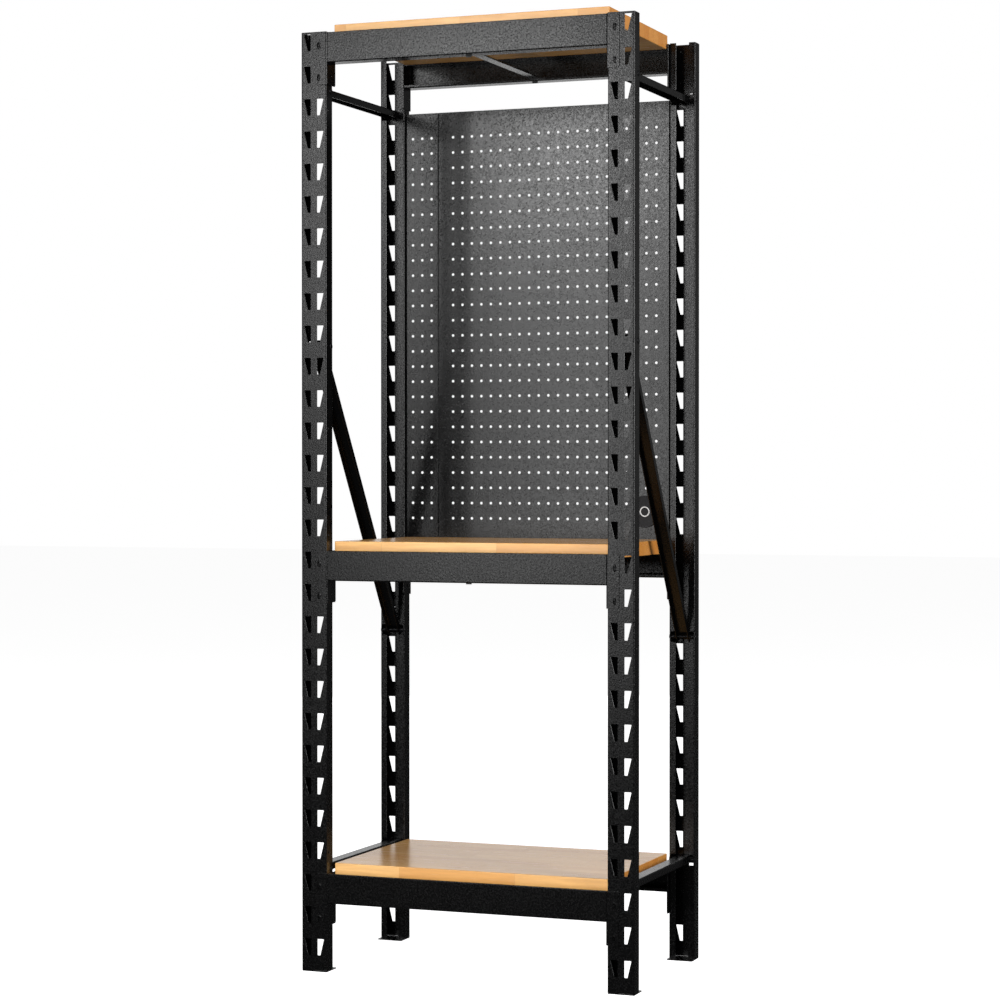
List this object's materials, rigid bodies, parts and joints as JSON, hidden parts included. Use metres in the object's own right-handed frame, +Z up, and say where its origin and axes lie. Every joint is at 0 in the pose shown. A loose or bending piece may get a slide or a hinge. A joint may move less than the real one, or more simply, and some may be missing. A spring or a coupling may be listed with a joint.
{
  "type": "boltless shelving unit with pegboard back",
  "caption": "Tall black steel shelving rack: slotted posts, hook-on beams, thick butcher-block boards and a perforated pegboard back.",
  "frame": {"origin": "on the floor, under the middle of the rack", "axes": "+Z up; +X to the user's right; +Y to the back, so the user stands at -Y"},
  "size_m": [0.8316, 0.503, 2.2361],
  "materials": {
    "frame_paint": "hammered semi-gloss black powder coat",
    "pegboard_paint": "fine textured black powder coat",
    "bolt_steel": "black zinc",
    "wood": "glossy clear lacquer over finger-jointed staves",
    "badge_plastic": "glossy black"
  },
  "bodies": {
    "rack": {"badge": "badge_plastic", "beam_bottom_front": "frame_paint", "beam_bottom_rear": "frame_paint", "beam_middle_front": "frame_paint", "beam_middle_rear": "frame_paint", "beam_top_front": "frame_paint", "beam_top_rear": "frame_paint", "brace_bolt_bottom_front_left": "bolt_steel", "brace_bolt_bottom_front_right": "bolt_steel", "brace_bolt_bottom_rear_left": "bolt_steel", "brace_bolt_bottom_rear_right": "bolt_steel", "brace_bolt_diagonal_front_left": "bolt_steel", "brace_bolt_diagonal_front_right": "bolt_steel", "brace_bolt_diagonal_rear_left": "bolt_steel", "brace_bolt_diagonal_rear_right": "bolt_steel", "brace_bolt_top_front_left": "bolt_steel", "brace_bolt_top_front_right": "bolt_steel", "brace_bolt_top_rear_left": "bolt_steel", "brace_bolt_top_rear_right": "bolt_steel", "brace_bottom_left": "frame_paint", "brace_bottom_right": "frame_paint", "brace_diagonal_left": "frame_paint", "brace_diagonal_right": "frame_paint", "brace_top_left": "frame_paint", "brace_top_right": "frame_paint", "bracket_bottom_front_left": "frame_paint", "bracket_bottom_front_right": "frame_paint", "bracket_bottom_rear_left": "frame_paint", "bracket_bottom_rear_right": "frame_paint", "bracket_middle_front_left": "frame_paint", "bracket_middle_front_right": "frame_paint", "bracket_middle_rear_left": "frame_paint", "bracket_middle_rear_right": "frame_paint", "bracket_top_front_left": "frame_paint", "bracket_top_front_right": "frame_paint", "bracket_top_rear_left": "frame_paint", "bracket_top_rear_right": "frame_paint", "foot_plate_front_left": "frame_paint", "foot_plate_front_right": "frame_paint", "foot_plate_rear_left": "frame_paint", "foot_plate_rear_right": "frame_paint", "panel_screw_lower_left": "bolt_steel", "panel_screw_lower_right": "bolt_steel", "panel_screw_lower_seam": "bolt_steel", "panel_screw_upper_left": "bolt_steel", "panel_screw_upper_right": "bolt_steel", "panel_screw_upper_seam": "bolt_steel", "pegboard_left": "pegboard_paint", "pegboard_right": "pegboard_paint", "post_front_left": "frame_paint", "post_front_right": "frame_paint", "post_rear_left": "frame_paint", "post_rear_right": "frame_paint", "tie_bar_bottom": "frame_paint", "tie_bar_middle": "frame_paint", "tie_bar_top": "frame_paint"},
    "top_board": {"board_top": "wood"},
    "middle_board": {"board_middle": "wood"},
    "bottom_board": {"board_bottom": "wood"}
  },
  "joints": [
    {"name": "top_board_lift", "type": "slide", "parent": "rack", "child": "top_board", "axis": [0, 0, 1], "range_m": [0, 0.05]},
    {"name": "middle_board_lift", "type": "slide", "parent": "rack", "child": "middle_board", "axis": [0, 0, 1], "range_m": [0, 0.05]},
    {"name": "bottom_board_lift", "type": "slide", "parent": "rack", "child": "bottom_board", "axis": [0, 0, 1], "range_m": [0, 0.05]}
  ]
}
